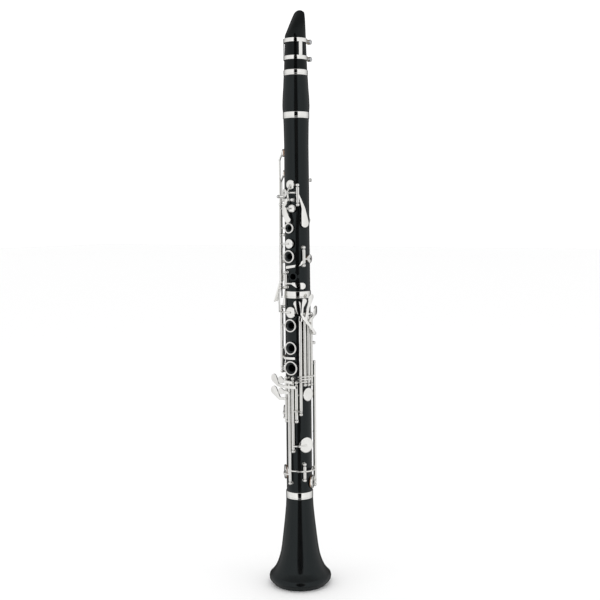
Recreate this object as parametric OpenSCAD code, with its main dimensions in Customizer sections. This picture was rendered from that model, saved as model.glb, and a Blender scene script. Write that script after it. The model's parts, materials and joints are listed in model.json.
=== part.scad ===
// Boehm-system soprano clarinet, in millimetres.
// +Z runs up the bore towards the mouthpiece, and z = 0 is the bottom of the bell.
// The finger holes face -Y. An angle a runs from -Y towards +X, so a = 90 is the +X side,
// which is the player's left, and a = 180 is the thumb side.

/* [Body] */
// Height of the mouthpiece tip
tip_z = 708; // [690:0.5:720]
// Top of the barrel
barrel_top_z = 635.3; // [630:0.1:640]
// Top of the upper joint
upper_top_z = 577.4; // [570:0.1:585]
// Top of the lower joint
middle_z = 368.7; // [360:0.1:375]
// Top of the bell
bell_top_z = 118.6; // [110:0.1:125]
// Radius of the main bore
bore_r = 7.4; // [7.2:0.05:7.6]

/* [Keywork] */
// Radius of a hinge rod
rod_r = 1.0; // [0.9:0.05:1.2]
// Outer radius of a key tube
tube_r = 1.9; // [1.7:0.05:2.2]
// Radius of a post's ball
ball_r = 2.2; // [2:0.1:2.6]
// Radius of the round key arms
arm_r = 1.1; // [0.8:0.05:1.3]

/* [Hidden] */
$fn = 48;
tube_bore = rod_r + 0.05;
tenon_gap = 0.06;

// Longitudinal hinges: [angle, radius, post heights]. The tubes run between the posts.
ring_hinge = [-62, 20.3, [372.2, 437.2, 474.2]];
gsharp_hinge = [36, 19.5, [473.6, 497.1]];
left_sliver_hinge = [57, 19.5, [400.3, 422.1]];
csharp_hinge = [-16, 19.3, [374.0, 392.0]];
thumb_hinge = [-148, 19.5, [438.5, 477.0]];
rh_ring_hinge = [-55, 19.9, [269.0, 349.0]];
rh_sliver_hinge = [-78, 19.6, [277.0, 296.0]];
fc_hinge = [-17, 19.6, [208.5, 262.2]];
eb_hinge = [-3, 19.6, [131.0, 257.4]];
fsharp_hinge = [11, 19.6, [171.5, 262.0]];
aflat_hinge = [25, 19.6, [208.8, 257.0]];
lh_fc_hinge = [41.2, 19.6, [217.6, 341.0]];
lh_fsharp_hinge = [57, 19.6, [254.0, 341.0]];
lh_aflat_hinge = [72, 19.6, [254.0, 341.0]];
lh_eb_hinge = [87, 19.6, [254.0, 341.0]];
rocker_hinge = [53, 19.6, [135.0, 155.0]];
vent_hinge = [137, 20.0, [123.6, 279.0]];

// Transverse hinges: [angle, distance from the axis, height, half the angle between posts].
a_hinge = [2, 20.5, 479.5, 16];
register_hinge = [180, 20.4, 504, 19];
trill_hinge = [-83.5, 22.4, 484, 15];
side_hinge = [-117.5, 22.4, 404, 15];

UPPER_HINGES = [ring_hinge, gsharp_hinge, left_sliver_hinge, csharp_hinge, thumb_hinge];
LOWER_HINGES = [rh_ring_hinge, rh_sliver_hinge, fc_hinge, eb_hinge, fsharp_hinge, aflat_hinge,
    lh_fc_hinge, lh_fsharp_hinge, lh_aflat_hinge, lh_eb_hinge, rocker_hinge, vent_hinge];
CROSS_HINGES = [a_hinge, register_hinge, trill_hinge, side_hinge];

// Pads: [angle, height, pad radius, seat distance, tone hole radius].
a_pad = [7.1, 497.8, 5.2, 14.1, 2.6];
gsharp_pad = [-27, 488.0, 4.6, 14.2, 2.4];
fsharp_vent_pad = [15.8, 469.1, 4.3, 14.3, 2.2];
lh2_vent_pad = [0.8, 426.6, 5.3, 14.1, 2.8];
left_sliver_pad = [96, 408.0, 4.9, 14.2, 2.6];
csharp_pad = [-40, 386.0, 4.2, 14.3, 2.4];
trill_high_pad = [-76, 537.0, 4.4, 14.3, 2.3];
trill_low_pad = [-90, 512.0, 4.6, 14.2, 2.5];
side_fsharp_pad = [-112, 444.0, 4.8, 14.2, 2.5];
side_eflat_pad = [-125, 424.0, 4.8, 14.2, 2.6];
register_pad = [180, 522.0, 3.6, 17.0, 1.5];
fork_pad = [5.9, 343.0, 6.4, 14.2, 3.3];
rh_sliver_pad = [-108, 286.5, 4.9, 14.6, 2.7];
aflat_pad = [77.4, 241.2, 7.9, 13.8, 5.2];
fc_pad = [-57, 218.0, 7.6, 13.8, 5.2];
fsharp_pad = [65.7, 178.2, 9.2, 13.4, 6.0];
eb_pad = [-57, 142.0, 8.4, 13.7, 5.8];
vent_pad = [106, 130.2, 7.9, 13.8, 5.0];

UPPER_PADS = [a_pad, gsharp_pad, fsharp_vent_pad, lh2_vent_pad, left_sliver_pad, csharp_pad,
    trill_high_pad, trill_low_pad, side_fsharp_pad, side_eflat_pad];
LOWER_PADS = [fork_pad, rh_sliver_pad, aflat_pad, fc_pad, fsharp_pad, eb_pad, vent_pad];

// Finger holes with a chimney: [angle, height, chimney radius, hole radius, ring radius].
lh1_hole = [2.7, 445.5, 3.9, 2.9, 5.6];
lh2_hole = [0.5, 411.1, 5.2, 3.7, 7.0];
thumb_hole = [180, 455.0, 4.6, 3.4, 6.3];
rh1_hole = [5.0, 326.9, 5.4, 4.0, 7.2];
rh2_hole = [5.3, 299.2, 5.4, 4.1, 7.2];
rh3_hole = [5.8, 274.6, 6.2, 4.7, 8.0];
lh3_hole = [11.9, 386.6, 5.6, 3.7, 0];

UPPER_HOLES = [lh1_hole, lh2_hole, thumb_hole, lh3_hole];
LOWER_HOLES = [rh1_hole, rh2_hole, rh3_hole];

// Travel of the keys that stand open, in degrees. They are drawn pressed and swung open.
ring_travel = 3.5;
pinky_travel = 5;
// Where the right-hand little finger's paddles leave the curve of the body.
pinky_a = -16;

// ---------------------------------------------------------------- placing

// Local -Y points outwards at angle a, and local Z is up.
module at(a, z = 0) {
    rotate([0, 0, a]) translate([0, 0, z]) children();
}

// Local Z points outwards at angle a, local X is along the body's circumference and local Y is up.
module outward(a, z, r) {
    rotate([0, 0, a]) translate([0, -r, z]) rotate([90, 0, 0]) children();
}

// Turns children by angle t about the hinge line at angle a and radius r.
module swing(hinge, t) {
    rotate([0, 0, hinge[0]]) translate([0, -hinge[1], 0]) rotate([0, 0, t])
        translate([0, hinge[1], 0]) rotate([0, 0, -hinge[0]]) children();
}

function spot(a, r, z) = [r * sin(a), -r * cos(a), z];

// Where the straight part of an arm starts: a point just past the edge of a pad cup or ring.
function edge_r(x, h) = sqrt(x * x + h * h);
function edge_a(pad_a, hinge_a, x, h) = pad_a + (hinge_a > pad_a ? 1 : -1) * asin(x / edge_r(x, h));

// ---------------------------------------------------------------- shapes

// A round bar between two points.
module bar(p, q, r) {
    d = q - p;
    l = norm(d);
    translate(p) rotate([0, acos(d[2] / l), atan2(d[1], d[0])]) cylinder(h = l, r = r);
}

// A round arm bent round the body from angle a1 to angle a2.
module arc(a1, a2, z, r, t) {
    rotate([0, 0, min(a1, a2) - 90])
        rotate_extrude(angle = abs(a2 - a1)) translate([r, z]) circle(t);
}

// A flat shape that follows a path of [x, y, radius] points, with a round end or joint at each.
// The straight links are a hair narrower than the rounds, so no edge is exactly tangent.
module chain(path) {
    for (p = path) translate([p[0], p[1]]) circle(p[2]);
    for (i = [0 : len(path) - 2]) {
        p = [path[i][0], path[i][1]];
        q = [path[i + 1][0], path[i + 1][1]];
        r1 = path[i][2];
        r2 = path[i + 1][2];
        t = atan2(q[1] - p[1], q[0] - p[0]);
        b = acos((r1 - r2) / norm(q - p));
        polygon([
            p + 0.994 * r1 * [cos(t + b), sin(t + b)],
            q + 0.994 * r2 * [cos(t + b), sin(t + b)],
            q + 0.994 * r2 * [cos(t - b), sin(t - b)],
            p + 0.994 * r1 * [cos(t - b), sin(t - b)]
        ]);
    }
}

// Bends a flat shape round the body: children are drawn with x along the circumference at
// angle a, and y as height. The plate fills the space between radius r1 and radius r2.
module plate(a, r1, r2) {
    intersection() {
        outward(a, 0, -6) linear_extrude(height = 40) children();
        translate([0, 0, 200]) difference() {
            cylinder(h = 400, r = r2);
            translate([0, 0, -1]) cylinder(h = 402, r = r1);
        }
    }
}

// The flat x of angle b at radius r, in a plate centred on angle a.
function flat(a, b, r) = r * sin(b - a);

// The tube of a key on a longitudinal hinge.
module key_tube(hinge, z1, z2) {
    at(hinge[0], z1) translate([0, -hinge[1], 0]) cylinder(h = z2 - z1, r = tube_r);
}

module key_bore(hinge) {
    at(hinge[0], 100) translate([0, -hinge[1], 0]) cylinder(h = 500, r = tube_bore);
}

// A short tube across the body, for a key on a transverse hinge.
module cross_tube(hinge, a, half) {
    x = hinge[1] * tan(a - hinge[0]);
    at(hinge[0], hinge[2]) translate([x - half, -hinge[1], 0]) rotate([0, 90, 0])
        cylinder(h = 2 * half, r = tube_r);
}

module cross_bore(hinge) {
    at(hinge[0], hinge[2]) translate([-20, -hinge[1], 0]) rotate([0, 90, 0])
        cylinder(h = 40, r = tube_bore);
}

// The metal cup that holds a pad.
module cup(pad) {
    outward(pad[0], pad[1], pad[3]) {
        difference() {
            translate([0, 0, 1.3]) cylinder(h = 1.9, r = pad[2] + 0.4);
            cylinder(h = 2.42, r = pad[2] + 0.02);
        }
        translate([0, 0, 3.2]) cylinder(h = 0.45, r1 = pad[2] + 0.4, r2 = pad[2] - 0.5);
    }
}

module pad_disc(pad) {
    outward(pad[0], pad[1], pad[3]) translate([0, 0, 0.03]) cylinder(h = 2.36, r = pad[2]);
}

// The upright knuckle where two arms of radius r meet.
module knuckle(p, r) {
    translate([p[0], p[1], p[2] - r * 1.06]) cylinder(h = r * 2.12, r = r * 1.15);
}

// The arm from a longitudinal hinge over the edge of a cup to its middle.
module cup_arm(hinge, pad) {
    x = pad[2] + 1.3;
    h = pad[3] + 3.65 + arm_r * 0.7;
    r = edge_r(x, h);
    a = edge_a(pad[0], hinge[0], x, h);
    arc(hinge[0], a, pad[1], r, arm_r);
    knuckle(spot(a, r, pad[1]), arm_r);
    bar(spot(a, r, pad[1]), spot(pad[0], pad[3] + 3.5, pad[1]), arm_r);
}

// A finger ring with its arm.
module finger_ring(hinge, hole, h) {
    outward(hole[0], hole[1], h) rotate_extrude() translate([hole[4], 0]) circle(0.95);
    x = hole[4];
    a = edge_a(hole[0], hinge[0], x, h);
    arc(hinge[0], a, hole[1], edge_r(x, h), arm_r);
}

// ---------------------------------------------------------------- wooden body

// The outline of a turned piece from [z, r] pairs, closed on the axis.
module turned(points) {
    rotate_extrude() polygon(concat([[0, points[0][0]]], [for (p = points) [p[1], p[0]]],
        [[0, points[len(points) - 1][0]]]));
}

module bore(z1, z2, r1, r2) {
    translate([0, 0, z1]) cylinder(h = z2 - z1, r1 = r1, r2 = r2);
}

// A tenon with the groove for its cork.
module tenon(z, h, r) {
    difference() {
        bore(z, z + h, r, r);
        difference() {
            bore(z + 2.5, z + h - 3, r + 1, r + 1);
            bore(z, z + h, r - 0.9, r - 0.9);
        }
    }
}

module cork(z, h, r) {
    difference() {
        bore(z + 2.52, z + h - 3.02, r + 0.03, r + 0.03);
        bore(z, z + h, r - 0.88, r - 0.88);
    }
}

module post_pockets(hinges) {
    for (h = hinges) for (z = h[2]) outward(h[0], z, 0) {
        translate([0, 0, 14.7]) cylinder(h = 6, r = 2.0);
        translate([0, 0, 11.4]) cylinder(h = 5, r = 1.32);
    }
}

module cross_pockets(hinge) {
    for (s = [-1, 1]) outward(hinge[0] + s * hinge[3], hinge[2], 0) {
        translate([0, 0, 14.7]) cylinder(h = 6, r = 2.0);
        translate([0, 0, 11.4]) cylinder(h = 5, r = 1.32);
    }
}

// The well of a pad, with a raised seat round the tone hole.
module pad_well(pad) {
    outward(pad[0], pad[1], 0) {
        difference() {
            translate([0, 0, pad[3] - 0.7]) cylinder(h = 8, r = pad[2] + 0.9);
            translate([0, 0, pad[3] - 1]) cylinder(h = 1, r = pad[4] + 1.1);
        }
        translate([0, 0, 3]) cylinder(h = 12, r = pad[4]);
    }
}

module chimney(hole, top) {
    outward(hole[0], hole[1], 0) translate([0, 0, 10]) cylinder(h = top - 10, r = hole[2]);
}

module finger_hole(hole) {
    outward(hole[0], hole[1], 0) {
        translate([0, 0, 3]) cylinder(h = 18, r = hole[3]);
    }
}

// What rounds the tip of the mouthpiece and of the reed, seen from the front.
module tip_cut(z) {
    difference() {
        translate([-20, -20, z - 8]) cube([40, 40, 12]);
        translate([0, 0, z - 9.5]) rotate([90, 0, 0]) cylinder(h = 60, r = 9.5, center = true);
    }
}

beak_z = 674;
beak_side_r = 160;

module mouthpiece() {
    color("#1b1c1e") difference() {
        union() {
            turned([[barrel_top_z, 14.1], [645, 13.75], [660, 13.2], [676, 12.7], [tip_z + 1, 11.6]]);
            tenon(618.4, 17.5, 11.0);
        }
        // The beak's slope at the front is the side of a leaning cylinder, so its edges are round.
        difference() {
            translate([-20, -30, beak_z]) cube([40, 60, 40]);
            translate([0, -2.3, 669.7]) rotate([-34.4, 0, 0]) cylinder(h = 130, r = 13, center = true);
        }
        // The beak's sides curve in towards the tip rail.
        for (s = [-1, 1]) difference() {
            translate([s > 0 ? 5 : -25, -20, beak_z - 2]) cube([20, 40, 45]);
            translate([-s * (beak_side_r - 13.75), 0, beak_z - 14]) rotate([90, 0, 0])
                cylinder(h = 60, r = beak_side_r, center = true);
        }
        tip_cut(tip_z);
        // The flat table that the reed lies on.
        translate([-20, 9.6, 641]) cube([40, 10, 80]);
        translate([-20, 9.4, 680]) rotate([1.0, 0, 0]) cube([40, 10, 40]);
        bore(617, 668, 7.45, 7.0);
        // The chamber and the window under the reed.
        translate([-4.6, -3.0, 660]) cube([9.2, 8, 22]);
        translate([-5.2, 1, 672]) rotate([-9, 0, 0]) cube([10.4, 14, 31]);
    }
}

module mouthpiece_cork() {
    color("#b98a5a") cork(618.4, 17.5, 11.0);
}

module reed() {
    color("#d9c178") difference() {
        reed_blank();
        tip_cut(tip_z - 0.2);
    }
}

module reed_blank() {
    intersection() {
        translate([-6.5, 9.65, 641.5]) cube([13, 5, tip_z - 641.7]);
        bore(640, 710, 12.6, 12.6);
        union() {
            translate([-7, 9, 640]) cube([14, 5, 34.5]);
            translate([-7, 9.65, 674]) rotate([4.0, 0, 0]) translate([0, -3, 0]) cube([14, 5.6, 40]);
        }
    }
}

lig_z = [669.9, 649.4];
lig_r = 13.9;

module ligature() {
    color("#d8d8dc") difference() {
        union() {
            for (z = lig_z) bore(z - 2.3, z + 2.3, lig_r + 0.7, lig_r + 0.7);
            // The upright bars that join the two bands.
            for (a = [59, -59]) intersection() {
                bore(648, 672, lig_r + 0.6, lig_r + 0.6);
                outward(a, 649, 8) translate([-2.2, 0, 0]) cube([4.4, 21, 8]);
            }
            // The two pairs of screw sockets at the reed side.
            for (z = lig_z) for (s = [-1, 1])
                translate([s * 4.0 - 1.7, 15.2, z]) rotate([0, 90, 0]) cylinder(h = 3.4, r = 1.9);
        }
        bore(640, 680, lig_r, lig_r);
        // The gap that the screws close.
        for (z = lig_z) translate([-1.6, 12, z - 3]) cube([3.2, 8, 6]);
        for (z = lig_z) translate([-9, 15.2, z]) rotate([0, 90, 0]) cylinder(h = 18, r = 1.06);
    }
}

module ligature_screw(z) {
    color("#cfcfd4") {
        translate([-6.6, 15.2, z]) rotate([0, 90, 0]) cylinder(h = 18.6, r = 1.0);
        translate([8.2, 15.2, z]) rotate([0, 90, 0]) cylinder(h = 4.0, r = 2.9);
        translate([12.2, 15.2, z]) rotate([0, 90, 0]) cylinder(h = 0.8, r1 = 2.9, r2 = 2.2);
    }
}

module ligature_screw_upper() ligature_screw(lig_z[0]);
module ligature_screw_lower() ligature_screw(lig_z[1]);

module barrel() {
    color("#232526") difference() {
        turned([[upper_top_z, 14.3], [585.2, 14.3], [585.2, 16.0], [589.5, 16.4], [593, 16.5],
            [600, 16.3], [607, 15.9], [614, 15.35], [621, 15.0], [628.6, 14.6], [628.6, 13.3],
            [barrel_top_z, 13.3]]);
        bore(500, 650, bore_r, bore_r);
        bore(617.8, 640, 11.0 + tenon_gap, 11.0 + tenon_gap);
        bore(570, 594.6, 11.2 + tenon_gap, 11.2 + tenon_gap);
    }
}

module band(z1, z2, r1, r2) {
    difference() {
        turned([[z1, r2 - 0.35], [z1 + 0.4, r2], [z1 + 1.6, r2], [z1 + 1.9, r2 - 0.25],
            [z1 + 2.2, r2], [z2 - 0.4, r2], [z2, r2 - 0.35]]);
        bore(z1 - 1, z2 + 1, r1, r1);
    }
}

module barrel_rings() {
    color("#dcdce0") {
        band(628.62, barrel_top_z, 13.32, 14.75);
        band(upper_top_z, 585.18, 14.32, 16.1);
    }
}

module upper_joint() {
    color("#232526") difference() {
        union() {
            turned([[middle_z, 15.5], [400, 15.35], [440, 15.15], [490, 15.15], [546, 14.9],
                [570, 15.3], [575, 15.5], [upper_top_z, 15.5]]);
            tenon(upper_top_z - 0.01, 17.0, 11.2);
            tenon(352.0, 16.71, 12.0);
            for (h = UPPER_HOLES) chimney(h, h[4] > 0 ? 17.6 : 15.7);
            outward(180, 522, 0) translate([0, 0, 12]) cylinder(h = 4.2, r = 3.6);
        }
        bore(340, 600, bore_r, bore_r);
        post_pockets(UPPER_HINGES);
        for (h = CROSS_HINGES) cross_pockets(h);
        for (p = UPPER_PADS) pad_well(p);
        for (h = UPPER_HOLES) finger_hole(h);
        // The lined holes for the thumb bush and the register tube.
        outward(180, 455, 0) translate([0, 0, 7]) cylinder(h = 20, r = 4.22);
        outward(180, 522, 0) translate([0, 0, 4]) cylinder(h = 20, r = 2.42);
    }
}

module lower_joint() {
    color("#232526") difference() {
        union() {
            turned([[bell_top_z, 16.0], [160, 15.9], [260, 15.75], [359.9, 15.6], [359.9, 14.2],
                [middle_z - 0.02, 14.2]]);
            tenon(101.0, 17.7, 13.4);
            for (h = LOWER_HOLES) chimney(h, 17.8);
        }
        bore(90, 180, 10.6, bore_r);
        bore(179, 380, bore_r, bore_r);
        bore(351.4, 380, 12.0 + tenon_gap, 12.0 + tenon_gap);
        post_pockets(LOWER_HINGES);
        for (p = LOWER_PADS) pad_well(p);
        for (h = LOWER_HOLES) finger_hole(h);
        for (z = [297, 309]) outward(180, z, 0) translate([0, 0, 11.4]) cylinder(h = 8, r = 1.22);
    }
}

module tenon_corks() {
    color("#b98a5a") {
        cork(upper_top_z, 17.0, 11.2);
        cork(352.0, 16.7, 12.0);
        cork(101.0, 17.6, 13.4);
    }
}

module socket_rings() {
    color("#dcdce0") {
        band(359.92, middle_z - 0.02, 14.22, 16.2);
        band(109.82, bell_top_z - 0.02, 15.02, 16.95);
    }
}

module bell() {
    color("#202223") difference() {
        turned([[0, 33.4], [1.2, 34.0], [3.6, 34.0], [3.6, 36.6], [6.6, 38.6], [9.4, 38.9],
            [12.0, 38.2], [14.6, 35.6], [19.8, 31.5], [25.0, 29.0], [30.1, 27.0], [35.3, 25.4],
            [40.5, 24.2], [48.3, 22.9], [56.0, 21.9], [68.9, 20.4], [79.2, 19.2], [92.0, 17.9],
            [100, 17.2], [109.8, 16.8], [109.8, 15.0], [bell_top_z - 0.04, 15.0]]);
        rotate_extrude() polygon([[0, 125], [13.4 + tenon_gap, 125], [13.4 + tenon_gap, 100.4],
            [10.7, 100.4], [12.4, 80], [15.0, 55], [18.6, 36], [23.2, 22], [28.4, 10],
            [31.6, -1], [0, -1]]);
    }
}

module bushings() {
    color("#c9c9cd") {
        // The thumb bush, which stands up inside the thumb ring.
        difference() {
            outward(180, 455, 0) translate([0, 0, 7.6]) cylinder(h = 10.6, r = 4.2);
            outward(180, 455, 0) translate([0, 0, 5]) cylinder(h = 20, r = 3.4);
        }
        // The register tube, which reaches into the bore.
        difference() {
            outward(180, 522, 0) translate([0, 0, 4.6]) cylinder(h = 12.3, r = 2.4);
            outward(180, 522, 0) translate([0, 0, 3]) cylinder(h = 20, r = 1.5);
        }
    }
}

module thumb_rest() {
    color("#d4d4d8") difference() {
        union() {
            intersection() {
                outward(180, 303, 8) translate([-6, -12, 0]) cube([12, 24, 10]);
                translate([0, 0, 285]) difference() {
                    cylinder(h = 36, r = 17.4);
                    translate([0, 0, -1]) cylinder(h = 38, r = 15.85);
                }
            }
            // The hook that rests on the thumb.
            at(180, 303) translate([-6, -29, -3.2]) cube([12, 13, 2.4]);
            at(180, 303) translate([-6, -31, -3.2]) rotate([0, 90, 0]) translate([-1.2, 2, 0])
                cylinder(h = 12, r = 1.9);
            // The ring for a neck strap.
            outward(180, 314.5, 16.6) translate([0, 3.2, 4.0]) rotate([90, 0, 0]) rotate([0, 90, 0])
                rotate_extrude() translate([3.6, 0]) circle(0.9);
        }
        for (z = [297, 309]) outward(180, z, 10) cylinder(h = 10, r = 1.25);
    }
}

module thumb_rest_screws() {
    color("#cfcfd4") for (z = [297, 309]) outward(180, z, 0) {
        translate([0, 0, 12]) cylinder(h = 5.5, r = 1.2);
        difference() {
            translate([0, 0, 17.42]) cylinder(h = 1.1, r = 2.1);
            translate([-3, -0.3, 18.1]) cube([6, 0.6, 1]);
        }
    }
}

// ---------------------------------------------------------------- posts and rods

// A post with its ball. Children cut the hole for the rod.
module post(a, z, r) {
    difference() {
        outward(a, z, 0) {
            translate([0, 0, 11.6]) cylinder(h = 4, r = 1.3);
            translate([0, 0, 14.75]) cylinder(h = 1.5, r = 1.98);
            translate([0, 0, 16.2]) cylinder(h = r - 17.0, r1 = 1.8, r2 = 1.35);
            translate([0, 0, r]) sphere(ball_r);
        }
        children();
    }
}

module along_rod(h, r, over) {
    z1 = h[2][0] - ball_r + 0.3 - over;
    z2 = h[2][len(h[2]) - 1] + ball_r - 0.3 + over;
    at(h[0], z1) translate([0, -h[1], 0]) cylinder(h = z2 - z1, r = r);
}

module cross_rod(h, r, over) {
    half = h[1] * tan(h[3]) + ball_r - 0.3 + over;
    at(h[0], h[2]) translate([-half, -h[1], 0]) rotate([0, 90, 0])
        cylinder(h = 2 * half, r = r);
}

module posts() {
    color("#d8d8dc") {
        for (h = concat(UPPER_HINGES, LOWER_HINGES)) for (z = h[2])
            post(h[0], z, h[1]) along_rod(h, rod_r + 0.02, 3);
        for (h = CROSS_HINGES) for (s = [-1, 1])
            post(h[0] + s * h[3], h[2], h[1] / cos(h[3])) cross_rod(h, rod_r + 0.02, 3);
    }
}

module hinge_rods() {
    color("#b8b8bd") {
        for (h = concat(UPPER_HINGES, LOWER_HINGES)) along_rod(h, rod_r, 0);
        for (h = CROSS_HINGES) cross_rod(h, rod_r, 0);
    }
}

// ---------------------------------------------------------------- upper joint keys

// A long lever on a transverse hinge, from its pad to its touch.
module side_lever(hinge, pad, a, r1, touch_z, w) {
    d = r1 + 1.5;
    difference() {
        union() {
            cross_tube(hinge, a, w * 0.5 + 0.1);
            plate(a, r1, d) chain([[0, pad[1] - 9, w * 0.5], [0, touch_z + 26, w * 0.5]]);
            at(a, pad[1] - 9) translate([0, -(r1 + 0.75), 0]) sphere(1.3);
            bar(spot(a, r1 + 0.75, pad[1] - 9), spot(pad[0], pad[3] + 4.1, pad[1]), 1.2);
            // The touch leans out from the body and ends in a rounded plate.
            at(a, touch_z + 26) translate([0, -(r1 + 0.75), 0]) rotate([-17, 0, 0]) {
                translate([-w * 0.5, -0.75, -16]) cube([w, 1.5, 17]);
                translate([0, 0.75, -24]) rotate([90, 0, 0]) linear_extrude(height = 1.5)
                    chain([[0, 8, w * 0.5 + 0.02], [0, -3, w * 0.5 + 0.35]]);
            }
            cup(pad);
        }
        cross_bore(hinge);
    }
}

side_r = 21.6;

module trill_key_high() {
    color("#dcdce0") side_lever(trill_hinge, trill_high_pad, -78, side_r, 356, 3.0);
}

module trill_key_low() {
    color("#dcdce0") side_lever(trill_hinge, trill_low_pad, -89, side_r, 356, 3.0);
}

module side_fsharp_key() {
    color("#dcdce0") side_lever(side_hinge, side_fsharp_pad, -112, side_r, 350, 3.0);
}

module side_eflat_key() {
    color("#dcdce0") side_lever(side_hinge, side_eflat_pad, -123, side_r, 350, 3.0);
}

module register_key() {
    color("#dcdce0") difference() {
        union() {
            cross_tube(register_hinge, 180, 3.4);
            plate(180, 19.6, 21.2) chain([[0, 514, 1.8], [0, 494, 2.2], [0, 470, 3.6]]);
            bar(spot(180, 20.4, 513), spot(180, 20.9, 522), 1.2);
            translate(spot(180, 20.4, 513)) sphere(1.3);
            cup(register_pad);
        }
        cross_bore(register_hinge);
    }
}

module throat_a_key() {
    color("#dcdce0") difference() {
        union() {
            cross_tube(a_hinge, 2, 2.7);
            bar(spot(2, 20.5, 479.5), spot(4.5, 23.6, 489.0), 1.15);
            translate(spot(4.5, 23.6, 489.0)) sphere(1.35);
            bar(spot(4.5, 23.6, 489.0), spot(a_pad[0], a_pad[3] + 3.6, a_pad[1]), 1.15);
            // A riser lifts the touch over the arm of the first ring key.
            outward(2, 479.0, 20.5) cylinder(h = 3.2, r = 1.4);
            plate(0, 23.0, 24.5)
                chain([[0.7, 479, 1.9], [-3.5, 472, 2.0], [-2.6, 465, 3.4], [1.8, 455.6, 3.7]]);
            cup(a_pad);
        }
        cross_bore(a_hinge);
    }
}

module throat_gsharp_key() {
    x = flat(60, 36, 20.5);
    color("#dcdce0") difference() {
        union() {
            key_tube(gsharp_hinge, 476.2, 494.5);
            cup_arm(gsharp_hinge, gsharp_pad);
            cup(gsharp_pad);
            plate(60, 19.6, 21.1) chain([[x, 485, 1.6], [x + 4.2, 475.5, 1.6], [x + 6.6, 469, 2.2],
                [0.2, 451.5, 5.2]]);
        }
        key_bore(gsharp_hinge);
    }
}

module lh1_ring_key() {
    swing(ring_hinge, -ring_travel) color("#dcdce0") difference() {
        union() {
            key_tube(ring_hinge, 439.8, 471.6);
            finger_ring(ring_hinge, lh1_hole, 17.9);
            cup_arm(ring_hinge, fsharp_vent_pad);
            cup(fsharp_vent_pad);
            // The tab that the thumb key lifts.
            arc(-100, ring_hinge[0], 460.0, 19.5, 0.9);
        }
        key_bore(ring_hinge);
    }
}

module lh2_ring_key() {
    swing(ring_hinge, -ring_travel) color("#dcdce0") difference() {
        union() {
            key_tube(ring_hinge, 374.8, 434.6);
            finger_ring(ring_hinge, lh2_hole, 17.9);
            cup_arm(ring_hinge, lh2_vent_pad);
            cup(lh2_vent_pad);
            // The inner half of the bridge over the middle joint.
            arc(ring_hinge[0], -48, 377.0, 19.9, 1.0);
            plate(-48, 18.8, 20.2) chain([[0, 378, 1.7], [0, 362.5, 2.2]]);
        }
        key_bore(ring_hinge);
    }
}

module thumb_ring_key() {
    swing(thumb_hinge, ring_travel) color("#dcdce0") difference() {
        union() {
            key_tube(thumb_hinge, 441.0, 474.5);
            outward(180, 455, 18.4) rotate_extrude() translate([thumb_hole[4], 0]) circle(0.95);
            arc(-148, -180 + asin(thumb_hole[4] / 19.45), 455, 19.45, arm_r);
            // The arm that reaches under the first ring key's tab.
            arc(-148, -99, 460.0, 17.2, 0.85);
            bar(spot(-148, 19.5, 460), spot(-146, 17.2, 460), 1.2);
        }
        key_bore(thumb_hinge);
    }
}

module csharp_gsharp_key() {
    color("#dcdce0") difference() {
        union() {
            key_tube(csharp_hinge, 376.6, 389.4);
            cup_arm(csharp_hinge, csharp_pad);
            cup(csharp_pad);
            bar(spot(-16, 19.3, 378.6), spot(-9, 22.3, 378.6), 1.15);
            arc(-9, 20, 378.6, 22.3, 1.0);
            knuckle(spot(-9, 22.3, 378.6), 1.15);
            plate(38, 21.6, 23.1) chain([[flat(38, 17, 22.3), 378.4, 1.5],
                [flat(38, 34, 22.3), 376.4, 3.4], [flat(38, 48, 22.3), 375.6, 3.9]]);
        }
        key_bore(csharp_hinge);
    }
}

module left_sliver_key() {
    color("#dcdce0") difference() {
        union() {
            key_tube(left_sliver_hinge, 403.0, 419.4);
            cup_arm(left_sliver_hinge, left_sliver_pad);
            cup(left_sliver_pad);
            plate(20, 18.2, 19.9) chain([[flat(20, 57, 19), 405.5, 1.4],
                [flat(20, 44, 19), 401.6, 1.4], [flat(20, 29, 19), 400.0, 1.3],
                [flat(20, -9, 19), 398.0, 1.7]]);
        }
        key_bore(left_sliver_hinge);
    }
}

// ---------------------------------------------------------------- lower joint keys

module rh_ring_key() {
    swing(rh_ring_hinge, -ring_travel) color("#dcdce0") difference() {
        union() {
            key_tube(rh_ring_hinge, 271.6, 346.4);
            for (hole = LOWER_HOLES) finger_ring(rh_ring_hinge, hole, 18.2);
            cup_arm(rh_ring_hinge, fork_pad);
            cup(fork_pad);
            // The outer half of the bridge over the middle joint.
            arc(rh_ring_hinge[0], -41, 345.0, 21.4, 1.1);
            plate(-44, 22.3, 23.6) chain([[1.1, 344.6, 1.7], [-0.8, 368.5, 2.2]]);
            bar(spot(-41, 21.4, 345.0), spot(-41, 23.4, 345.0), 1.2);
        }
        key_bore(rh_ring_hinge);
    }
}

module rh_sliver_key() {
    color("#dcdce0") difference() {
        union() {
            key_tube(rh_sliver_hinge, 279.4, 293.6);
            cup_arm(rh_sliver_hinge, rh_sliver_pad);
            cup(rh_sliver_pad);
            bar(spot(-78, 19.6, 286.6), spot(-72, 17.5, 286.6), 1.1);
            plate(-50, 16.85, 17.8)
                chain([[flat(-50, -72, 17.3), 286.6, 1.3], [flat(-50, -38, 17.3), 286.6, 1.3]]);
            bar(spot(-38.5, 17.4, 286.6), spot(-27, 19.4, 286.6), 0.75);
            knuckle(spot(-27, 19.4, 286.6), 1.0);
            plate(0, 18.7, 20.1)
                chain([[flat(0, -26, 19.4), 286.6, 1.35], [flat(0, 19, 19.4), 286.9, 1.5]]);
        }
        key_bore(rh_sliver_hinge);
    }
}

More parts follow.
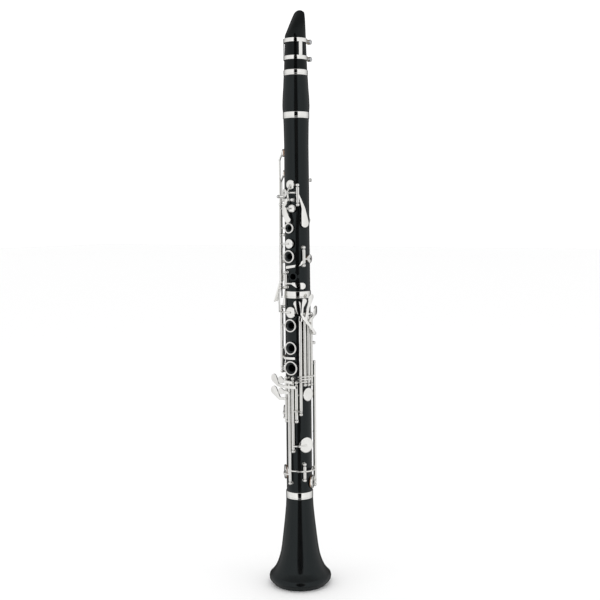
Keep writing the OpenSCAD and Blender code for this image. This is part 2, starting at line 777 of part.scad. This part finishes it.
// A little-finger touch of the right hand: a riser on the tube, a stem bent round the body to
// angle pinky_a, and from there a flat paddle that follows path, drawn as in chain.
module pinky_touch(hinge, z, r1, r2, path) {
    c = (hinge[0] + pinky_a) / 2;
    m = (r1 + r2) / 2;
    outward(hinge[0], z, hinge[1]) cylinder(h = r2 - hinge[1] - 0.2, r = 1.5);
    plate(c, r1, r2) chain([[flat(c, hinge[0], m), z, 1.7], [flat(c, pinky_a, m), path[0][1], 1.7]]);
    outward(pinky_a, 0, r1 + 0.1) linear_extrude(height = r2 - r1 - 0.2) chain(path);
}

module rh_fc_key() {
    swing(fc_hinge, pinky_travel) color("#dcdce0") difference() {
        union() {
            key_tube(fc_hinge, 211.0, 259.5);
            cup_arm(fc_hinge, fc_pad);
            cup(fc_pad);
            pinky_touch(fc_hinge, 236.6, 21.9, 23.4, [[0.3, 236.8, 1.6], [-9, 236.0, 1.8], [-18.5, 245.5, 5.2]]);
            // The crow's foot, which the two neighbouring keys press.
            arc(fc_hinge[0], -30, 212.4, 20.4, 1.1);
        }
        key_bore(fc_hinge);
    }
}

module rh_eb_key() {
    swing(eb_hinge, pinky_travel) color("#dcdce0") difference() {
        union() {
            key_tube(eb_hinge, 133.6, 254.9);
            cup_arm(eb_hinge, eb_pad);
            cup(eb_pad);
            pinky_touch(eb_hinge, 244.6, 22.0, 23.5, [[0, 245.0, 1.6], [-6.5, 245.6, 4.1]]);
            // The arm that lifts the rocker.
            arc(eb_hinge[0], 30, 146.3, 18.5, 1.0);
        }
        key_bore(eb_hinge);
    }
}

module rh_fsharp_key() {
    color("#dcdce0") difference() {
        union() {
            key_tube(fsharp_hinge, 174.0, 259.5);
            cup_arm(fsharp_hinge, fsharp_pad);
            cup(fsharp_pad);
            pinky_touch(fsharp_hinge, 257.6, 22.8, 24.3, [[0, 258.6, 1.6], [-6.5, 259.4, 4.5]]);
        }
        key_bore(fsharp_hinge);
    }
}

module rh_aflat_key() {
    color("#dcdce0") difference() {
        union() {
            key_tube(aflat_hinge, 211.4, 254.4);
            // The arm dips under the left-hand lever's tube and meets the side of the cup.
            bar(spot(25, 19.6, 241.2), spot(32, 16.8, 241.2), 0.85);
            knuckle(spot(32, 16.8, 241.2), 0.8);
            arc(32, 46, 241.2, 16.45, 0.6);
            knuckle(spot(46, 16.45, 241.2), 0.6);
            bar(spot(46, 16.45, 241.2), spot(50.0, 18.75, 241.2), 0.58);
            cup(aflat_pad);
            pinky_touch(aflat_hinge, 251.8, 23.0, 24.5, [[0, 252.0, 1.6], [-10.5, 252.6, 1.8], [-18.5, 260.5, 5.2]]);
        }
        key_bore(aflat_hinge);
    }
}

// A left-hand lever: the tube, a foot near its lower end and a touch above the middle joint.
module lh_lever(hinge, z1, foot_z, foot_a, r1, path, tip_r) {
    c = (hinge[0] + path[2][0]) / 2;
    m = r1 + 0.75;
    difference() {
        union() {
            key_tube(hinge, z1, 338.4);
            outward(hinge[0], path[0][1], hinge[1]) cylinder(h = m - hinge[1] + 0.5, r = 1.5);
            plate(c, r1, r1 + 1.5)
                chain([for (p = path) [flat(c, p[0], m), p[1], p == path[2] ? tip_r : 1.7]]);
            outward(hinge[0], foot_z, hinge[1]) cylinder(h = 3.6, r = 1.1);
            arc(hinge[0], foot_a, foot_z, 23.1, 0.8);
        }
        key_bore(hinge);
    }
}

module lh_fc_lever() {
    color("#dcdce0")
        lh_lever(lh_fc_hinge, 220.2, 222.0, 16, 22.2, [[42, 334], [46, 350], [53, 357.5]], 3.0);
}

module lh_fsharp_lever() {
    color("#dcdce0")
        lh_lever(lh_fsharp_hinge, 256.6, 258.2, 31, 22.2, [[57, 334], [66, 350], [79, 362.0]], 3.5);
}

module lh_aflat_lever() {
    color("#dcdce0")
        lh_lever(lh_aflat_hinge, 256.6, 261.4, 31, 22.2, [[72, 333], [90, 339], [106, 345.0]], 5.2);
}

module lh_eb_lever() {
    color("#dcdce0")
        lh_lever(lh_eb_hinge, 256.6, 264.6, 31, 25.0, [[87, 317], [36, 343], [31, 354.5]], 3.6);
}

module rocker() {
    color("#dcdce0") difference() {
        union() {
            key_tube(rocker_hinge, 137.6, 152.4);
            arc(27, rocker_hinge[0], 146.3, 19.9, 1.1);
            arc(rocker_hinge[0], 96, 146.3, 20.9, 1.1);
        }
        key_bore(rocker_hinge);
    }
}

module vent_key() {
    swing(vent_hinge, pinky_travel) color("#dcdce0") difference() {
        union() {
            key_tube(vent_hinge, 126.2, 276.4);
            cup_arm(vent_hinge, vent_pad);
            cup(vent_pad);
            arc(90, vent_hinge[0], 146.3, 17.3, 1.0);
            at(vent_hinge[0], 190.8) translate([0, -vent_hinge[1], 0]) cylinder(h = 1.2, r = 2.3);
        }
        key_bore(vent_hinge);
    }
}

// ---------------------------------------------------------------- pads

module felt() {
    color("#8a4a33") children();
}

module pad_register() felt() pad_disc(register_pad);
module pad_throat_a() felt() pad_disc(a_pad);
module pad_throat_gsharp() felt() pad_disc(gsharp_pad);
module pad_lh1() felt() swing(ring_hinge, -ring_travel) pad_disc(fsharp_vent_pad);
module pad_lh2() felt() swing(ring_hinge, -ring_travel) pad_disc(lh2_vent_pad);
module pad_trill_high() felt() pad_disc(trill_high_pad);
module pad_trill_low() felt() pad_disc(trill_low_pad);
module pad_side_fsharp() felt() pad_disc(side_fsharp_pad);
module pad_side_eflat() felt() pad_disc(side_eflat_pad);
module pad_csharp_gsharp() felt() pad_disc(csharp_pad);
module pad_left_sliver() felt() pad_disc(left_sliver_pad);
module pad_rh_ring() felt() swing(rh_ring_hinge, -ring_travel) pad_disc(fork_pad);
module pad_rh_sliver() felt() pad_disc(rh_sliver_pad);
module pad_rh_fc() felt() swing(fc_hinge, pinky_travel) pad_disc(fc_pad);
module pad_rh_eb() felt() swing(eb_hinge, pinky_travel) pad_disc(eb_pad);
module pad_rh_fsharp() felt() pad_disc(fsharp_pad);
module pad_rh_aflat() felt() pad_disc(aflat_pad);
module pad_vent() felt() swing(vent_hinge, pinky_travel) pad_disc(vent_pad);

// ---------------------------------------------------------------- nodes

mouthpiece();
mouthpiece_cork();
reed();
ligature();
ligature_screw_upper();
ligature_screw_lower();
barrel();
barrel_rings();
upper_joint();
lower_joint();
tenon_corks();
socket_rings();
bell();
bushings();
thumb_rest();
thumb_rest_screws();
posts();
hinge_rods();
register_key();
throat_a_key();
throat_gsharp_key();
thumb_ring_key();
lh1_ring_key();
lh2_ring_key();
trill_key_high();
trill_key_low();
side_fsharp_key();
side_eflat_key();
csharp_gsharp_key();
left_sliver_key();
rh_ring_key();
rh_sliver_key();
rh_fc_key();
rh_eb_key();
rh_fsharp_key();
rh_aflat_key();
lh_fc_lever();
lh_fsharp_lever();
lh_aflat_lever();
lh_eb_lever();
rocker();
vent_key();
pad_register();
pad_throat_a();
pad_throat_gsharp();
pad_lh1();
pad_lh2();
pad_trill_high();
pad_trill_low();
pad_side_fsharp();
pad_side_eflat();
pad_csharp_gsharp();
pad_left_sliver();
pad_rh_ring();
pad_rh_sliver();
pad_rh_fc();
pad_rh_eb();
pad_rh_fsharp();
pad_rh_aflat();
pad_vent();
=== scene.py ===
"""Studio picture of a Boehm-system clarinet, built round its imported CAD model.

The CAD nodes give every shape and size. This script gives them their finishes, rounds the edges
of metal, wood and rubber a little, and puts a stuffed disc in place of each pad's plain one.
"""

import json
import math

import bmesh
import bpy
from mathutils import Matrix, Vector


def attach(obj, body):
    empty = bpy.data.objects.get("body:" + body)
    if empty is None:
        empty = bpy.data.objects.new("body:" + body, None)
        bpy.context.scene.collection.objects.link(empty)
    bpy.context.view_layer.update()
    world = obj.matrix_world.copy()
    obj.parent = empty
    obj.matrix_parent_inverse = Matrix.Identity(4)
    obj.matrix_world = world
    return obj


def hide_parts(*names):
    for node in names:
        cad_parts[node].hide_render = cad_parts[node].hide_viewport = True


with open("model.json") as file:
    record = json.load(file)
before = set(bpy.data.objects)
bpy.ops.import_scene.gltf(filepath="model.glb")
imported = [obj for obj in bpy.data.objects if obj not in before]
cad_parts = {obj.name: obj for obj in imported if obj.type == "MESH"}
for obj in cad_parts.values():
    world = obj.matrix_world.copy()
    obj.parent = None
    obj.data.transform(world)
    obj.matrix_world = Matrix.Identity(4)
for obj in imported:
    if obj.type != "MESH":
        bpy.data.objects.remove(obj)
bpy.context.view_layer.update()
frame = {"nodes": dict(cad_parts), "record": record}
NODES = frame["nodes"]
MM = 0.001

# ------------------------------------------------------------------ node helpers


class Shader:
    """A material's node tree, with short calls to add and link nodes."""

    def __init__(self, name, roughness, metallic=0.0):
        self.material = bpy.data.materials.new(name)
        self.material.use_nodes = True
        self.tree = self.material.node_tree
        self.bsdf = self.tree.nodes["Principled BSDF"]
        self.bsdf.inputs["Roughness"].default_value = roughness
        self.bsdf.inputs["Metallic"].default_value = metallic
        self.place = self.tree.nodes.new("ShaderNodeTexCoord").outputs["Object"]

    def add(self, kind, **inputs):
        node = self.tree.nodes.new(kind)
        for key, value in inputs.items():
            socket = node.inputs[key.replace("_", " ")]
            if isinstance(value, bpy.types.NodeSocket):
                self.tree.links.new(value, socket)
            else:
                socket.default_value = value
        return node

    def stretched(self, sx, sy, sz):
        """Object coordinates scaled so that a pattern runs along one direction."""
        node = self.add("ShaderNodeMapping", Vector=self.place)
        node.inputs["Scale"].default_value = (sx, sy, sz)
        return node.outputs["Vector"]

    def noise(self, vector, scale, detail=4.0, roughness=0.55):
        node = self.add(
            "ShaderNodeTexNoise", Vector=vector, Scale=scale, Detail=detail, Roughness=roughness
        )
        return node.outputs["Fac"]

    def ramp(self, factor, stops):
        node = self.add("ShaderNodeValToRGB", Fac=factor)
        band = node.color_ramp
        band.elements[0].position, band.elements[0].color = stops[0]
        band.elements[1].position, band.elements[1].color = stops[-1]
        for position, colour in stops[1:-1]:
            band.elements.new(position).color = colour
        return node.outputs["Color"]

    def spread(self, factor, low, high):
        node = self.add("ShaderNodeMapRange", Value=factor, To_Min=low, To_Max=high)
        return node.outputs["Result"]

    def mix(self, factor, first, second):
        node = self.tree.nodes.new("ShaderNodeMix")
        node.data_type = "RGBA"
        # Sockets 0, 6 and 7 are the factor and the two colours of a colour mix, and output 2 its result.
        sockets = (node.inputs[0], node.inputs[6], node.inputs[7])
        for socket, value in zip(sockets, (factor, first, second)):
            if isinstance(value, bpy.types.NodeSocket):
                self.tree.links.new(value, socket)
            else:
                socket.default_value = value
        return node.outputs[2]

    def bump(self, height, depth, strength):
        node = self.add("ShaderNodeBump", Height=height, Distance=depth, Strength=strength)
        self.tree.links.new(node.outputs["Normal"], self.bsdf.inputs["Normal"])

    def set(self, name, value):
        socket = self.bsdf.inputs[name]
        if isinstance(value, bpy.types.NodeSocket):
            self.tree.links.new(value, socket)
        else:
            socket.default_value = value


def blackwood():
    """Oiled African blackwood: near black, with fine long pores and faint brown streaks."""
    s = Shader("blackwood", 0.17)
    s.set("Specular IOR Level", 0.29)
    s.set("Specular Tint", (0.82, 0.97, 1.0, 1))
    streaks = s.noise(s.stretched(1, 1, 0.05), 420, 6.0, 0.6)
    figure = s.noise(s.stretched(1, 1, 0.12), 60, 3.0)
    dark = s.ramp(
        streaks, [(0.35, (0.0028, 0.0031, 0.0033, 1)), (0.72, (0.0075, 0.0068, 0.0064, 1))]
    )
    tint = s.mix(s.spread(figure, 0.0, 0.55), dark, (0.0042, 0.0049, 0.0053, 1))
    s.set("Base Color", tint)
    s.set("Roughness", s.spread(streaks, 0.09, 0.2))
    pores = s.noise(s.stretched(1, 1, 0.03), 1500, 2.0)
    s.bump(pores, 0.00003, 0.2)
    return s.material


def ebonite():
    """Polished hard rubber, with the faint haze that handling leaves."""
    s = Shader("ebonite", 0.12)
    s.set("Specular IOR Level", 0.2)
    s.set("Specular Tint", (0.85, 0.97, 1.0, 1))
    haze = s.noise(s.place, 130, 5.0)
    tones = [(0.3, (0.0018, 0.002, 0.0021, 1)), (0.8, (0.004, 0.004, 0.0042, 1))]
    s.set("Base Color", s.ramp(haze, tones))
    s.set("Roughness", s.spread(haze, 0.08, 0.18))
    s.bump(s.noise(s.place, 900, 2.0), 0.00002, 0.2)
    return s.material


def silver():
    """Silver plate, polished, with fine wipe marks and a little yellowing in patches."""
    s = Shader("silver_plate", 0.16, 1.0)
    patches = s.noise(s.place, 90, 4.0)
    wipes = s.noise(s.stretched(1, 1, 0.2), 1900, 3.0)
    tones = [(0.25, (0.86, 0.85, 0.82, 1)), (0.75, (0.95, 0.945, 0.925, 1))]
    s.set("Base Color", s.ramp(patches, tones))
    s.set("Roughness", s.spread(wipes, 0.05, 0.13))
    s.bump(wipes, 0.00001, 0.25)
    return s.material


def steel():
    """Ground steel, duller and darker than the plate, with marks round each rod."""
    s = Shader("steel", 0.3, 1.0)
    turning = s.noise(s.stretched(0.15, 0.15, 1), 2600, 3.0)
    tones = [(0.3, (0.52, 0.53, 0.55, 1)), (0.7, (0.68, 0.68, 0.69, 1))]
    s.set("Base Color", s.ramp(turning, tones))
    s.set("Roughness", s.spread(turning, 0.22, 0.4))
    s.bump(turning, 0.00001, 0.3)
    return s.material


def cork():
    """Natural cork: tan grains with dark specks and small pits."""
    s = Shader("cork", 0.85)
    cells = s.add("ShaderNodeTexVoronoi", Vector=s.place, Scale=1400.0)
    grains = s.noise(s.place, 500, 6.0, 0.7)
    tones = [
        (0.3, (0.2, 0.1, 0.045, 1)), (0.55, (0.46, 0.27, 0.13, 1)), (0.8, (0.62, 0.4, 0.21, 1)),
    ]
    s.set("Base Color", s.ramp(grains, tones))
    s.set("Roughness", s.spread(grains, 0.75, 0.95))
    s.bump(cells.outputs["Distance"], 0.00012, 0.6)
    return s.material


def cane():
    """Reed cane: straw coloured with long fibres."""
    s = Shader("cane", 0.55)
    fibres = s.noise(s.stretched(1, 1, 0.02), 1700, 5.0, 0.65)
    tones = [
        (0.3, (0.5, 0.33, 0.12, 1)), (0.6, (0.72, 0.55, 0.27, 1)), (0.8, (0.8, 0.66, 0.4, 1)),
    ]
    s.set("Base Color", s.ramp(fibres, tones))
    s.set("Roughness", s.spread(fibres, 0.45, 0.7))
    s.set("Subsurface Weight", 0.1)
    s.bump(fibres, 0.00004, 0.5)
    return s.material


def pad_skin():
    """Pad skin over felt: reddish brown, softly wrinkled and a little patchy."""
    s = Shader("pad_skin", 0.5)
    wrinkle = s.noise(s.place, 700, 5.0, 0.6)
    s.set("Base Color", s.ramp(wrinkle, [(0.3, (0.34, 0.16, 0.085, 1)), (0.7, (0.56, 0.34, 0.2, 1))]))
    s.set("Roughness", s.spread(wrinkle, 0.4, 0.6))
    s.set("Sheen Weight", 0.25)
    s.bump(wrinkle, 0.00006, 0.4)
    return s.material


FINISH = {
    "wood": blackwood(),
    "ebonite": ebonite(),
    "silver": silver(),
    "steel": steel(),
    "cork": cork(),
    "cane": cane(),
    "pad": pad_skin(),
}

SLOT = {row["node"]: row["material_slot"] for row in frame["record"]["subparts"]}


def dress(piece, slot):
    piece.data.materials.clear()
    piece.data.materials.append(FINISH[slot])


for node_name, piece in NODES.items():
    dress(piece, SLOT[node_name])

# ------------------------------------------------------------------ edges

# How far the edges of each finish are rounded, in millimetres.
EDGE = {"silver": 0.22, "steel": 0.12, "wood": 0.25, "ebonite": 0.3}
KEEP_SHARP = {"hinge_rods"}
# Vertices nearer to each other than this, in millimetres, are taken as one.
WELD_GAP = 0.002
FLAT_ANGLE = math.radians(0.6)
CORNER_ANGLE = math.radians(32)
EDGE_SEGMENTS = 3


def soften(piece, width):
    weld = piece.modifiers.new("weld", "WELD")
    weld.merge_threshold = WELD_GAP * MM
    flat = piece.modifiers.new("flat", "DECIMATE")
    flat.decimate_type = "DISSOLVE"
    flat.angle_limit = FLAT_ANGLE
    bevel = piece.modifiers.new("bevel", "BEVEL")
    bevel.width = width * MM
    bevel.segments = EDGE_SEGMENTS
    bevel.limit_method = "ANGLE"
    bevel.angle_limit = CORNER_ANGLE
    bevel.use_clamp_overlap = True


for node_name, piece in NODES.items():
    if SLOT[node_name] in EDGE and node_name not in KEEP_SHARP:
        soften(piece, EDGE[SLOT[node_name]])

# ------------------------------------------------------------------ pads

BODIES = frame["record"]["behaviour"]["bodies"]
BODY_OF = {node: body for body, nodes in BODIES.items() for node in nodes}

# Half of a pad's outline as shares of its radius and half thickness, from its middle to its rim.
# The groove is the ring that the tone hole's seat has pressed into the felt.
PAD_OUTLINE = [
    (0.3, 1.0), (0.52, 0.99), (0.6, 0.94), (0.66, 0.9), (0.72, 0.94), (0.82, 0.97),
    (0.9, 0.9), (0.96, 0.72), (0.99, 0.48), (1.0, 0.18),
]
PAD_TURNS = 64


def disc_of(piece):
    """Centre, axis, two directions across it, radius and half thickness of a one-disc node."""
    areas = {}
    for face in piece.data.polygons:
        key = tuple(round(c, 2) for c in face.normal)
        areas[key] = areas.get(key, 0) + face.area
    axis = Vector(max(areas, key=areas.get)).normalized()
    side = axis.orthogonal().normalized()
    other = axis.cross(side)
    points = [v.co for v in piece.data.vertices]
    centre = Vector((0, 0, 0))
    half = {}
    for name, way in (("axis", axis), ("side", side), ("other", other)):
        spans = [p.dot(way) for p in points]
        centre += way * (max(spans) + min(spans)) / 2
        half[name] = (max(spans) - min(spans)) / 2
    return centre, axis, side, other, half["side"], half["axis"]


def stuffed_pad(node_name):
    """A felt disc in skin, with a rounded rim and the mark of its seat."""
    centre, axis, side, other, radius, thick = disc_of(NODES[node_name])
    outline = PAD_OUTLINE + [(r, -h) for r, h in reversed(PAD_OUTLINE)]
    mesh = bmesh.new()
    rings = []
    for r, h in outline:
        ring = []
        for turn in range(PAD_TURNS):
            angle = 2 * math.pi * turn / PAD_TURNS
            ray = side * math.cos(angle) + other * math.sin(angle)
            ring.append(mesh.verts.new(centre + ray * (r * radius) + axis * (h * thick)))
        rings.append(ring)
    for above, below in zip(rings, rings[1:]):
        for turn in range(PAD_TURNS):
            after = (turn + 1) % PAD_TURNS
            mesh.faces.new((above[turn], below[turn], below[after], above[after]))
    for ring, height in ((rings[0], thick), (list(reversed(rings[-1])), -thick)):
        middle = mesh.verts.new(centre + axis * height)
        for turn in range(PAD_TURNS):
            mesh.faces.new((middle, ring[turn], ring[(turn + 1) % PAD_TURNS]))
    bmesh.ops.recalc_face_normals(mesh, faces=mesh.faces)
    for face in mesh.faces:
        face.smooth = True
    data = bpy.data.meshes.new(node_name + "_felt")
    mesh.to_mesh(data)
    mesh.free()
    pad = bpy.data.objects.new(node_name + "_felt", data)
    bpy.context.scene.collection.objects.link(pad)
    dress(pad, "pad")
    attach(pad, BODY_OF[node_name])
    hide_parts(node_name)


for node_name in NODES:
    if SLOT[node_name] == "pad":
        stuffed_pad(node_name)

# ------------------------------------------------------------------ camera

# The camera stands to one side of the instrument's front, a little above its middle. Its distance,
# height and shift to the side are in metres, its lens and sensor in millimetres.
CAMERA_AZIMUTH = math.radians(33)
CAMERA_DISTANCE = 1.2016
CAMERA_HEIGHT = 0.4599
CAMERA_PITCH = math.radians(4.9)
CAMERA_SIDE = 0.0027
CAMERA_ROLL = math.radians(-0.54)
CAMERA_LENS = 58.7
SENSOR_WIDTH = 36

camera_data = bpy.data.cameras.new("camera")
camera_data.sensor_width = SENSOR_WIDTH
camera_data.lens = CAMERA_LENS
camera = bpy.data.objects.new("camera", camera_data)
bpy.context.scene.collection.objects.link(camera)
bpy.context.scene.camera = camera
outward = Vector((math.sin(CAMERA_AZIMUTH), -math.cos(CAMERA_AZIMUTH), 0))
to_right = Vector((math.cos(CAMERA_AZIMUTH), math.sin(CAMERA_AZIMUTH), 0))
camera.location = outward * CAMERA_DISTANCE + to_right * CAMERA_SIDE
camera.location.z = CAMERA_HEIGHT
look = -outward * math.cos(CAMERA_PITCH) - Vector((0, 0, math.sin(CAMERA_PITCH)))
camera.rotation_euler = look.to_track_quat("-Z", "Y").to_euler()
camera.rotation_euler.rotate_axis("Z", CAMERA_ROLL)
camera_data.clip_start = 0.05
camera_data.clip_end = 50

# ------------------------------------------------------------------ floor, light and backdrop

# The floor's and the lights' sizes and places are in metres, and the lights' power in watts.
FLOOR_HALF = 12.0
# The floor lies just under the bell, so the two don't share a face.
FLOOR_DROP = 0.0002
FLOOR_WHITE = (0.92, 0.92, 0.92, 1)
CORNERS = ((-1, -1), (1, -1), (1, 1), (-1, 1))


def matt(name, colour):
    material = bpy.data.materials.new(name)
    material.use_nodes = True
    bsdf = material.node_tree.nodes["Principled BSDF"]
    bsdf.inputs["Base Color"].default_value = colour
    bsdf.inputs["Roughness"].default_value = 0.9
    return material


floor_mesh = bpy.data.meshes.new("floor")
floor_mesh.from_pydata([(x * FLOOR_HALF, y * FLOOR_HALF, 0) for x, y in CORNERS], [], [(0, 1, 2, 3)])
floor_mesh.materials.append(matt("floor_white", FLOOR_WHITE))
floor = bpy.data.objects.new("floor", floor_mesh)
floor.location.z = -FLOOR_DROP
bpy.context.scene.collection.objects.link(floor)
# Polished faces reflect the light tent below the horizon too, and not the floor.
floor.visible_glossy = False

BOX_HEIGHT = 0.55
BOX_DISTANCE = 1.5
BOX_WIDTH = 0.7
BOX_TALL = 1.7
BOX_POWER = 2
AIM_HEIGHT = 0.36
# Degrees round the object from its front, one box on either side of the camera.
LEFT_BOX = -32
RIGHT_BOX = 98


def softbox(name, azimuth):
    """A tall rectangular light at an angle round the object, facing its axis."""
    data = bpy.data.lights.new(name, "AREA")
    data.shape = "RECTANGLE"
    data.size = BOX_WIDTH
    data.size_y = BOX_TALL
    data.energy = BOX_POWER
    light = bpy.data.objects.new(name, data)
    a = math.radians(azimuth)
    light.location = (math.sin(a) * BOX_DISTANCE, -math.cos(a) * BOX_DISTANCE, BOX_HEIGHT)
    aim = Vector((0, 0, AIM_HEIGHT)) - light.location
    light.rotation_mode = "QUATERNION"
    light.rotation_quaternion = aim.to_track_quat("-Z", "Y")
    bpy.context.scene.collection.objects.link(light)
    light.visible_glossy = False


softbox("softbox_left", LEFT_BOX)
softbox("softbox_right", RIGHT_BOX)

# The angle from the camera's side of the tent in degrees, and the cloth's brightness there. The
# dark slot behind the camera is what draws the thin dark line down the middle of the instrument.
TENT_STOPS = [(0, 0.0), (14, 0.0), (19, 1.0), (45, 0.9), (90, 0.86), (125, 0.6), (150, 0.1), (180, 0.1)]
# How much less height counts than direction, so that the slot stays dark above and below.
TENT_HEIGHT_SHARE = 0.35
# The cloth dims from the first steepness to the second, down to this share of its brightness.
TENT_STEEP = (0.6, 0.85)
TENT_DIM = 0.5
BACKDROP_STRENGTH = 1.12


def tent(azimuth):
    """A light tent: white cloth all round, whose brightness changes with the angle from azimuth.

    Reflections see the tent with its dark slot. The background and the floor's light are plain white.
    """
    world = bpy.data.worlds.new("studio")
    bpy.context.scene.world = world
    world.use_nodes = True
    nodes = world.node_tree.nodes
    link = world.node_tree.links.new

    def calculate(kind, operation, source):
        node = nodes.new(kind)
        node.operation = operation
        link(source, node.inputs[0])
        return node

    direction = nodes.new("ShaderNodeTexCoord").outputs["Generated"]
    level = calculate("ShaderNodeVectorMath", "MULTIPLY", direction)
    level.inputs[1].default_value = (1, 1, TENT_HEIGHT_SHARE)
    unit = calculate("ShaderNodeVectorMath", "NORMALIZE", level.outputs[0])
    along = calculate("ShaderNodeVectorMath", "DOT_PRODUCT", unit.outputs[0])
    a = math.radians(azimuth)
    along.inputs[1].default_value = (math.sin(a), -math.cos(a), 0)
    angle = calculate("ShaderNodeMath", "ARCCOSINE", along.outputs["Value"])
    share = calculate("ShaderNodeMath", "DIVIDE", angle.outputs[0])
    share.inputs[1].default_value = math.pi
    ramp = nodes.new("ShaderNodeValToRGB")
    link(share.outputs[0], ramp.inputs["Fac"])
    band = ramp.color_ramp
    for index, (degrees, value) in enumerate(TENT_STOPS):
        spot = band.elements[index] if index in (0, 1) else band.elements.new(degrees / 180)
        spot.position = degrees / 180
        spot.color = (value, value, value, 1)

    height = nodes.new("ShaderNodeSeparateXYZ")
    link(direction, height.inputs[0])
    steep = calculate("ShaderNodeMath", "ABSOLUTE", height.outputs["Z"])
    fade = nodes.new("ShaderNodeMapRange")
    link(steep.outputs[0], fade.inputs["Value"])
    fade.inputs["From Min"].default_value = TENT_STEEP[0]
    fade.inputs["From Max"].default_value = TENT_STEEP[1]
    fade.inputs["To Min"].default_value = 1.0
    fade.inputs["To Max"].default_value = TENT_DIM
    faded = calculate("ShaderNodeVectorMath", "SCALE", ramp.outputs["Color"])
    link(fade.outputs["Result"], faded.inputs["Scale"])

    cloth = nodes["Background"]
    link(faded.outputs["Vector"], cloth.inputs["Color"])
    cloth.inputs["Strength"].default_value = 1.0
    white = nodes.new("ShaderNodeBackground")
    white.inputs["Color"].default_value = (1, 1, 1, 1)
    white.inputs["Strength"].default_value = BACKDROP_STRENGTH
    path = nodes.new("ShaderNodeLightPath")
    blend = nodes.new("ShaderNodeMixShader")
    link(path.outputs["Is Glossy Ray"], blend.inputs["Fac"])
    link(white.outputs["Background"], blend.inputs[1])
    link(cloth.outputs["Background"], blend.inputs[2])
    link(blend.outputs["Shader"], nodes["World Output"].inputs["Surface"])


tent(math.degrees(CAMERA_AZIMUTH))
bpy.context.scene.view_settings.view_transform = "Standard"
